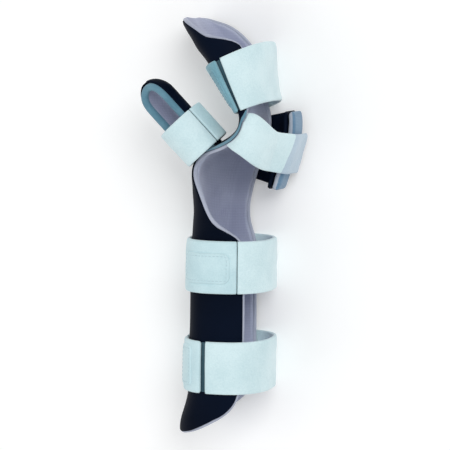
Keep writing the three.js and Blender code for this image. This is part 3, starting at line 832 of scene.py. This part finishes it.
def add_strap(name, near, width, tab, slot, seed):
    places = places_with_edges(near, near + width, STRAP_WALL / 2, 4, 2.6)

    def limits(s):
        return tab[1] + angle_of(s, slot) / 2, 360 + tab[0] - angle_of(s, BUTT) / 2

    band = slab(name + "_band", trough_ring, places, limits, STRAP_MIDDLE, STRAP_WALL / 2, STRAP_FINISH,
                step=2.6, samples=320, relief=cloth_relief(0.38, 0.24, seed))
    return finish_piece(band, "strap", name + "_strap")


def add_tab(name, near, width, tab, slot, material, corner=0.5):
    places = places_with_edges(near, near + width, STRAP_WALL / 2, 4, 2.6)
    last = near + width

    def limits(s):
        cut = angle_of(s, corner_cut(s, near, last, corner))
        return tab[0] + angle_of(s, BUTT) / 2 + cut, tab[1] - angle_of(s, slot) / 2 - cut

    flap = slab(name + "_flap", trough_ring, places, limits, STRAP_MIDDLE, STRAP_WALL / 2, material,
                step=2.4, relief=cloth_relief(0.22, 0.14, 5.0))
    return finish_piece(flap, "tab", name + "_tab")


for ring_name, sizes in RINGS.items():
    add_strap(ring_name, **sizes)
add_tab("forearm", RINGS["forearm"]["near"], 39, RINGS["forearm"]["tab"], SLOT, TAB_FINISH, 2.0)
add_tab("wrist", RINGS["wrist"]["near"], 39, RINGS["wrist"]["tab"], BUTT, TAB_FINISH, 1.0)
# The finger tab takes the painted shade finish.
add_tab("finger", RINGS["finger"]["near"], 41, RINGS["finger"]["tab"], SLOT, SHADED_TAB_FINISH, 2.0)


# %% Tongues under the slots
# Near-black pile: painted shade standing for the shadow inside the open slots.
TONGUE_SHADE_FINISH = surface_material("shaded_tongue", "pile", 760, (0.020, 0.060, 0.085), (0.050, 0.110, 0.140),
                                 (0.080, 0.150, 0.180), 0.95, 0.4, 0.0004)
TONGUE_WALL, TONGUE_LAP = 0.22, 4.0


def add_tongue(name, near, width, tab, slot):
    """The strap's thinned end, which runs under the tab and shows in the slot beside it, painted dark as
    painted shade.
    """
    places = places_with_edges(near + 1, near + width - 1, TONGUE_WALL / 2, 2, 2.6)

    def limits(s):
        reach = angle_of(s, slot / 2 + TONGUE_LAP)
        return tab[1] - reach, tab[1] + reach

    tongue = slab(name + "_tongue", trough_ring, places, limits,
                  GAP / 2, TONGUE_WALL / 2, TONGUE_SHADE_FINISH, fine=2, step=2.4)
    return finish_piece(tongue, "strap")


for ring_name in ("forearm", "finger"):
    add_tongue(ring_name, *[RINGS[ring_name][size] for size in ("near", "width", "tab", "slot")])

# %% Sewn patches
def add_patch(name, first, last, low, high, corner, rise, material, thread=THREAD_FINISH):
    """A rounded patch on a tab, between two places and two angles, with stitches inside its edge."""
    places = places_with_edges(first, last, rise, 3, 2.2)
    top = STRAP_STACK - 0.35

    def limits(s):
        cut = angle_of(s, corner_cut(s, first, last, corner))
        return low + cut, high - cut

    patch = slab(name + "_patch", trough_ring, places, limits, top + rise / 2, rise / 2 + 0.35, material,
                 radius=1.0, fine=3, step=2.2)
    finish_piece(patch, "tab")
    inset = 2.2
    line = []
    for s in np.linspace(first + inset, last - inset, 12):
        cut = angle_of(s, corner_cut(s, first, last, corner) + inset)
        line.append((s, high - cut))
    back = []
    for s in np.linspace(last - inset, first + inset, 12):
        cut = angle_of(s, corner_cut(s, first, last, corner) + inset)
        back.append((s, low + cut))
    sides = line + [(last - inset, a) for a in np.linspace(line[-1][1], back[0][1], 14)[1:-1]] + back
    sides += [(first + inset, a) for a in np.linspace(back[-1][1], line[0][1], 14)[1:-1]]
    seam = [trough_ring(s, np.array([a]), top + rise + 0.35)[0] for s, a in sides]
    stitches = grow(name + "_stitches", [(seam, True)], STITCH_TREE, {
        "Pitch": 3.0 * MM, "Length": 2.2 * MM, "Thickness": 0.27 * MM, "Material": thread})
    return finish_piece(stitches, "tab")


add_patch("wrist", WRIST - 33, WRIST - 10.5, 36, 101.5, 5, 0.9, TAB_FINISH)
add_patch("forearm", WRIST - 110, WRIST - 80, 22, 55, 4, 0.8, TAB_FINISH)
# The finger patch and its thread are painted darker, as painted shade, like the finger tab.
add_patch("finger", KNUCKLES + 15, KNUCKLES + 46, 48, 72, 4, 0.7, SHADED_TAB_FINISH, SHADED_ROLL_FINISH)

# %% [markdown]
# ## Wing
# The wing is a bent board that runs under the little finger side and stands up behind the hand. On
# its outside lies a foam pad, cut straight along its edges, so pale foam shows there. Its cover is
# painted blue-grey: painted sheen, standing for the light that the navy cloth catches. Foam fills out
# between its seams, so the pad is blown up a little by a short cloth simulation. The board is dark
# like the shell and has round corners.

# %% Board
WING_LENGTH, WING_RISE, WING_REACH, WING_LEAN = 50, 42, 20.5, 1.5
WING_HEIGHT, WING_FOOT, WING_CORNER, PAD_FOOT = 34, 34, 9, 9
BOARD_FLOOR = STRAP_STACK - GAP - BOARD_WALL
WING_NEAR = WRIST + WING_RISE
WING_FAR = WING_NEAR + WING_LENGTH


def bent_line(corners, radius, steps):
    """A line through corners, each corner but the ends rounded, as evenly spaced points."""
    corners = [np.array(c, float) for c in corners]
    points = [corners[0]]
    for before, corner, after in zip(corners, corners[1:], corners[2:]):
        into = (corner - before) / np.linalg.norm(corner - before)
        onward = (after - corner) / np.linalg.norm(after - corner)
        a, b = corner - into * radius, corner + onward * radius
        t = np.linspace(0, 1, 14)[:, None]
        points.extend((1 - t) ** 2 * a + 2 * t * (1 - t) * corner + t ** 2 * b)
    points.append(corners[-1])
    points = np.array(points)
    run = np.concatenate(([0], np.cumsum(np.linalg.norm(np.diff(points, axis=0), axis=1))))
    even = np.linspace(0, run[-1], steps)
    return even, np.stack([np.interp(even, run, points[:, k]) for k in (0, 1)], axis=1)


BOARD_RUN, BOARD_LINE = bent_line([
    (WING_REACH + WING_LEAN - WING_FOOT, BOARD_FLOOR), (WING_REACH + WING_LEAN, BOARD_FLOOR),
    (WING_REACH, WING_HEIGHT)], WING_CORNER, 120)
board_slope = np.gradient(BOARD_LINE, BOARD_RUN, axis=0)
BOARD_SIDE = np.stack([board_slope[:, 1], -board_slope[:, 0]], axis=1)
BOARD_SIDE /= np.linalg.norm(BOARD_SIDE, axis=1)[:, None]


def board_ring(s, run, out):
    """Points beside the board's outside, run along its section."""
    across = np.interp(run, BOARD_RUN, BOARD_LINE[:, 0]) + out * np.interp(run, BOARD_RUN, BOARD_SIDE[:, 0])
    height = np.interp(run, BOARD_RUN, BOARD_LINE[:, 1]) + out * np.interp(run, BOARD_RUN, BOARD_SIDE[:, 1])
    return place(s, across, height)


def pad_ring(s, height, out):
    """Points beside the standing part of the wing."""
    lean = -WING_LEAN / (WING_HEIGHT - BOARD_FLOOR)
    return place(s, WING_REACH + WING_LEAN + lean * (height - BOARD_FLOOR) + out, height)


# The board's face towards the hand keeps the dark shell finish with no pale lining: there this dark is
# painted shade.
board = slab("wing_board", board_ring, places_with_edges(WING_NEAR, WING_FAR, BOARD_WALL / 2, 4, 2.4),
             lambda s: (0.0, BOARD_RUN[-1] - corner_cut(s, WING_NEAR, WING_FAR, 5)),
             -BOARD_WALL / 2, BOARD_WALL / 2, SHELL_FINISH, step=2.2)
finish_piece(board, "shell", "ulnar_wing")


# %% Cloth pass
def blown_up(piece, voxel, pressure, cap, frames=20):
    """Fills a closed foam piece out with a cloth simulation, and keeps each point within cap."""
    scene = bpy.context.scene
    remesh = piece.modifiers.new("remesh", "REMESH")
    remesh.mode = "VOXEL"
    remesh.voxel_size = voxel * MM
    depsgraph = bpy.context.evaluated_depsgraph_get()
    start_mesh = bpy.data.meshes.new_from_object(piece.evaluated_get(depsgraph))
    piece.modifiers.clear()
    piece.data = start_mesh
    start = np.array([v.co for v in start_mesh.vertices])
    cloth = piece.modifiers.new("cloth", "CLOTH")
    cloth.settings.use_pressure = True
    cloth.settings.uniform_pressure_force = pressure
    cloth.settings.effector_weights.gravity = 0
    cloth.settings.quality = 5
    cloth.settings.tension_stiffness = 20
    cloth.settings.compression_stiffness = 20
    cloth.point_cache.frame_start = 1
    cloth.point_cache.frame_end = frames
    for frame_number in range(1, frames + 1):
        scene.frame_set(frame_number)
    depsgraph = bpy.context.evaluated_depsgraph_get()
    after_mesh = bpy.data.meshes.new_from_object(piece.evaluated_get(depsgraph))
    after = np.array([v.co for v in after_mesh.vertices])
    move = after - start
    size = np.linalg.norm(move, axis=1)
    keep = np.minimum(1, cap * MM / np.maximum(size, 1e-9))
    piece.modifiers.clear()
    for vertex, point in zip(start_mesh.vertices, start + move * keep[:, None]):
        vertex.co = point
    bpy.data.meshes.remove(after_mesh)
    scene.frame_set(1)
    print(piece.name, "moved up to", round(float((size * keep).max() / MM), 2), "mm")
    return piece


def subdivided(piece, levels=1):
    modifier = piece.modifiers.new("subdivision", "SUBSURF")
    modifier.levels = modifier.render_levels = levels
    depsgraph = bpy.context.evaluated_depsgraph_get()
    made = bpy.data.meshes.new_from_object(piece.evaluated_get(depsgraph))
    piece.modifiers.clear()
    piece.data = made
    made.shade_smooth()
    return piece


# %% Pad
PAD_IN = GAP
pad = slab("pad_foam", pad_ring, places_with_edges(WING_NEAR + 0.4, WING_FAR - 0.4, 1.2, 3, 2.0),
           lambda s: (PAD_FOOT, WING_HEIGHT), PAD_IN + PAD_WALL / 2 - 0.1, PAD_WALL / 2 - 0.5, None,
           radius=1.2, fine=3, step=2.0)
blown_up(pad, 1.8, 4.0, 0.7)
subdivided(pad)
pad.data.materials.clear()
# The pad takes the painted sheen finish.
pad.data.materials.append(PAD_SHEEN_FINISH)
COVER_EDGE, COVER_BLEND = PAD_IN + 0.6 * PAD_WALL, 0.7  # the painted sheen cover ends here, and foam shows below it
wing_places = np.linspace(WING_NEAR - 2, WING_FAR + 2, 80)
wing_centres = place(wing_places, np.zeros(80), 0.0)[:, :2]
wing_tilts = tilt_at(wing_places)
foam_shows = []
for vertex in pad.data.vertices:
    x, y, height = np.array(vertex.co) / MM
    off = np.array((x, y)) - wing_centres
    k = int(np.argmin(np.abs(off[:, 0] * np.sin(wing_tilts) + off[:, 1] * np.cos(wing_tilts))))
    across = off[k, 0] * math.cos(wing_tilts[k]) - off[k, 1] * math.sin(wing_tilts[k])
    lean = WING_LEAN * (1 - (height - BOARD_FLOOR) / (WING_HEIGHT - BOARD_FLOOR))
    foam_shows.append(min(max((COVER_EDGE - across + WING_REACH + lean) / COVER_BLEND + 0.5, 0), 1))
pad.data.attributes.new("edge", "FLOAT", "POINT").data.foreach_set("value", foam_shows)
finish_piece(pad, "pad", "wing_pad")

# %% [markdown]
# ## Hand strap
# The hand strap starts at the web of the thumb, crosses the knuckles, bridges to the wing, folds over
# its edge and is stuck down on its outside. Its line is worked out at each place, smoothed where the
# strap bends and then built as one slab. Its end over the wing, which turns away from the light, is
# painted greyer than the rest: painted shade on the same loop cloth.

# %% Hand strap
HAND_STRAP_WIDTH, HAND_STRAP_RISE, HAND_STRAP_SLANT, HAND_STRAP_TURN = 26, 69, 12, 172


KNUCKLE_STEPS, WING_STEPS = 15, 8  # points of the line over the knuckles and down the wing
SLANT_RATE, HAND_LINE_POINTS, HAND_LINE_EASING = 1.4, 90, 5


def hand_line(s, out):
    """The strap's side that lies `out` from its underside, for the strand that starts at s."""
    count = KNUCKLE_STEPS + WING_STEPS
    shares = np.arange(count) / (count - 1)
    there = s - HAND_STRAP_SLANT * smooth(shares * SLANT_RATE)
    points = []
    for k in range(count):
        if k < KNUCKLE_STEPS:
            start = wraps(there[k])[1] + angle_of(there[k], RIM_LIP + BUTT)
            angle = start + (HAND_STRAP_TURN - start) * k / (KNUCKLE_STEPS - 1)
            settle = (HAND_STRAP_TURN - start) / 3
            rest = -STRAP_WALL + GAP + STRAP_WALL * smooth((angle - start) / settle)
            across, height = outline(there[k], np.array([angle]), rest + out)
            points.append(place(there[k], across, height)[0])
        else:
            top, foot = WING_HEIGHT + GAP + 1, PAD_FOOT - 2
            height = np.array([top + (foot - top) * (k - KNUCKLE_STEPS) / (WING_STEPS - 1)])
            points.append(pad_ring(there[k], height, PAD_IN + PAD_WALL + GAP + out)[0])
    points = np.array(points)
    dense = np.stack([np.interp(np.linspace(0, count - 1, HAND_LINE_POINTS), np.arange(count), points[:, k])
                      for k in range(3)], axis=1)
    return softened(dense, False, HAND_LINE_EASING)


def hand_ring(s, u, out):
    """u runs from 0 at the web of the thumb to 1 at the strap's end on the wing."""
    low, high = hand_line(s, 0.0), hand_line(s, STRAP_WALL)
    shares = np.linspace(0, 1, len(low))
    a = np.stack([np.interp(u, shares, low[:, k]) for k in range(3)], axis=1)
    b = np.stack([np.interp(u, shares, high[:, k]) for k in range(3)], axis=1)
    return a + (b - a) * (np.asarray(out) / STRAP_WALL)[..., None]


HAND_FOLD = 0.63  # share of the strap's length beyond which its end over the wing takes the painted shade finish
hand_near = WRIST + HAND_STRAP_RISE
hand_places = places_with_edges(hand_near, hand_near + HAND_STRAP_WIDTH, STRAP_WALL / 2, 4, 2.2)
hand_strap = slab("hand_band", hand_ring, hand_places,
                  lambda s: (0.0, 1.0), STRAP_WALL / 2, STRAP_WALL / 2, STRAP_FINISH, step=2.2, samples=120,
                  relief=cloth_relief(0.35, 0.26, 4.4, 300))
# Faces past the fold take the painted shade finish.
hand_strap.data.materials.append(STRAP_SHADE_FINISH)
spans = len(hand_strap.data.polygons) // (2 * (len(hand_places) - 1))  # faces come in pairs, row by row
for face in hand_strap.data.polygons:
    face.material_index = 1 if (face.index // 2) % spans > HAND_FOLD * spans else 0
finish_piece(hand_strap, "strap", "hand_strap")

# %% [markdown]
# ## Thumb spoon
# The thumb lies in a spoon that points up and to the palm side. Its wall leaves the palm along a
# curve, so each line of the wall starts where it comes out of the palm. A thick roll runs round its
# open edge like a horseshoe, painted darker than the pale roll as painted shade, and a short strap
# holds it.

# %% Spoon lines
THUMB_ROOT_RISE, THUMB_ROOT_REACH, THUMB_ROOT_HEIGHT = 55, 25.5, 58
THUMB_LENGTH, THUMB_ROOT_DEPTH, THUMB_WIDTH, THUMB_WALL, THUMB_LINING = 72, 12, 28, 2, 4.2
THUMB_TIP, THUMB_WRAP, THUMB_LEAST = 17, 104, 0.05
THUMB_STRAP_EASE = 2.2  # slack that lets the strap stand off on the fingers' side
thumb_root = place(WRIST + THUMB_ROOT_RISE, np.float64(-THUMB_ROOT_REACH), THUMB_ROOT_HEIGHT)
thumb_along = np.array([-0.665, 0.739, 0.116])
thumb_along /= np.linalg.norm(thumb_along)
thumb_open = np.array([-0.46, -0.2, 0.87])
thumb_open -= thumb_along * thumb_open.dot(thumb_along)
thumb_open /= np.linalg.norm(thumb_open)
thumb_side = np.cross(thumb_along, thumb_open)


def thumb_point(along, angle, radius):
    turn = np.radians(angle)
    return (thumb_root + np.multiply.outer(along, thumb_along) * np.ones_like(turn)[..., None]
            + np.multiply.outer(radius * np.sin(turn), thumb_side)
            - np.multiply.outer(radius * np.cos(turn), thumb_open))


def thumb_radius(along, out):
    """The spoon's radius: even, then a rounded tip."""
    into = np.clip((along - (THUMB_LENGTH - THUMB_TIP)) / (out + THUMB_TIP), 0, 1)
    return (THUMB_WIDTH / 2 + out) * np.maximum(np.sqrt(1 - into ** 2), THUMB_LEAST)


def in_palm(point, out):
    """Whether a point lies in the palm's full outline, `out` beyond the shell."""
    places = np.linspace(WRIST, KNUCKLES + KNUCKLE_BEND, 117)
    centres = place(places, np.zeros_like(places), 0.0)
    k = int(np.argmin(np.linalg.norm(centres[:, :2] - point[:2], axis=1)))
    s = places[k]
    tilt = float(tilt_at(s))
    across = (point[0] - centres[k, 0]) * math.cos(tilt) - (point[1] - centres[k, 1]) * math.sin(tilt)
    width, palm, back = section_at(s)[:3]
    reach = (back if across > 0 else palm) + out
    middle = STRAP_STACK - FLATTEN + width / 2
    share = (abs(across) / reach) ** (2 / SQUARENESS)
    share += (abs(point[2] - middle) / (width / 2 + out)) ** (2 / SQUARENESS)
    return share < 1


ROOT_ANGLES = np.arange(-180, 181, 6)
ROOT_HIGHEST, ROOT_STEP = 34, 0.5  # how far up the spoon its root is looked for, and how finely


def root_line(radius, lowest, shift=0.0):
    """For each angle, the length along the spoon at which its wall comes out of the palm."""
    starts = []
    for angle in ROOT_ANGLES:
        start = lowest
        for along in np.arange(ROOT_HIGHEST, lowest, -ROOT_STEP):
            if in_palm(thumb_point(along, np.array([angle]), radius)[0] + shift * thumb_side, GAP):
                start = along + ROOT_STEP
                break
        starts.append(start)
    return np.array(starts, float)


SPOON_ROOT = root_line(THUMB_WIDTH / 2, -THUMB_ROOT_DEPTH)
STRAP_ROOT = root_line(THUMB_WIDTH / 2 + THUMB_STRAP_EASE + GAP + 1.3, -THUMB_ROOT_DEPTH, THUMB_STRAP_EASE)
print("spoon leaves the palm between", SPOON_ROOT.min(), "and", SPOON_ROOT.max(), "mm along it")


# %% Spoon wall and lining
def spoon_ring(share, angle, out):
    """share runs from 0 at the palm to THUMB_LENGTH at the tip."""
    start = np.interp(angle, ROOT_ANGLES, SPOON_ROOT)
    along = start + (THUMB_LENGTH - start) * share / THUMB_LENGTH
    reach = np.maximum(along - (THUMB_LENGTH - THUMB_TIP), 0) / THUMB_TIP
    along = along + reach * out
    return thumb_point_each(along, angle, thumb_radius(along, out))


def thumb_point_each(along, angle, radius):
    turn = np.radians(angle)
    return (thumb_root + along[:, None] * thumb_along + (radius * np.sin(turn))[:, None] * thumb_side
            - (radius * np.cos(turn))[:, None] * thumb_open)


SPOON_STRAIGHT = THUMB_LENGTH - THUMB_TIP
spoon_places = np.concatenate((
    edge_clustered(SPOON_STRAIGHT, 1.0, 3, 2.4)[:-1],
    SPOON_STRAIGHT + THUMB_TIP * np.sin(np.linspace(0, math.pi / 2, 16))))
spoon = slab("spoon_wall", spoon_ring, spoon_places, lambda s: (-THUMB_WRAP, THUMB_WRAP),
             -THUMB_WALL / 2, THUMB_WALL / 2, SHELL_FINISH, end_radius=0.4, step=1.6)
finish_piece(spoon, "shell", "thumb_trough")
spoon_lining = slab("spoon_foam", spoon_ring, spoon_places, lambda s: (-THUMB_WRAP - 3, THUMB_WRAP + 3),
                    -(THUMB_WALL + GAP) - THUMB_LINING / 2, THUMB_LINING / 2, LINING_FINISH,
                    end_radius=0.4, step=1.6)
finish_piece(spoon_lining, "lining", "thumb_lining")

# %% Horseshoe roll
SPOON_ROLL = 2.9
roll_out = -(THUMB_WALL + 1.3)
edge_run = np.linspace(0, THUMB_LENGTH, 60)
one_side = np.array([spoon_ring(r, np.array([THUMB_WRAP + 4.0]), roll_out)[0] for r in edge_run])
other_side = np.array([spoon_ring(r, np.array([-THUMB_WRAP - 4.0]), roll_out)[0] for r in edge_run])
horseshoe = softened(np.concatenate((one_side, other_side[::-1])), False, 18)
# The horseshoe roll takes the painted shade roll finish.
spoon_roll = grow("spoon_roll", [(horseshoe, False)], ROLL_TREE, {
    "Radius": SPOON_ROLL * MM, "Step": 1.5 * MM, "Material": SHADED_ROLL_FINISH})
finish_piece(spoon_roll, "lining")

# %% Thumb strap
THUMB_STRAP_START, THUMB_STRAP_WIDTH, THUMB_STRAP_WALL = 3.5, 31, 2.6
THUMB_TAB = (40, 104)
thumb_strap_end = THUMB_STRAP_START + THUMB_STRAP_WIDTH


def thumb_band_ring(s, angle, out):
    start = np.maximum(np.interp((angle + 180) % 360 - 180, ROOT_ANGLES, STRAP_ROOT), THUMB_STRAP_START)
    share = (s - THUMB_STRAP_START) / THUMB_STRAP_WIDTH
    along = start + (thumb_strap_end - start) * share
    points = thumb_point_each(along, angle, THUMB_WIDTH / 2 + THUMB_STRAP_EASE + out)
    return points + THUMB_STRAP_EASE * thumb_side


thumb_places = places_with_edges(THUMB_STRAP_START, thumb_strap_end, THUMB_STRAP_WALL / 2, 4, 2.0)
thumb_joint = math.degrees(BUTT / (THUMB_WIDTH / 2))
thumb_band = slab("thumb_band", thumb_band_ring, thumb_places,
                  lambda s: (THUMB_TAB[1] + thumb_joint, 360 + THUMB_TAB[0] - thumb_joint),
                  GAP + THUMB_STRAP_WALL / 2, THUMB_STRAP_WALL / 2, STRAP_FINISH, step=2.0, samples=240,
                  relief=cloth_relief(0.2, 0.16, 2.6))
finish_piece(thumb_band, "strap", "thumb_strap")
thumb_flap = slab("thumb_flap", thumb_band_ring, thumb_places, lambda s: THUMB_TAB,
                  GAP + THUMB_STRAP_WALL / 2, THUMB_STRAP_WALL / 2, TAB_FINISH, step=2.0)
finish_piece(thumb_flap, "tab", "thumb_tab")

# %% [markdown]
# ## Last update
# The view layer is brought up to date once every piece is built. The dressed splint has to stay
# in the box of its solids, apart from a little cloth that stands proud.

# %% Update
bpy.context.view_layer.update()
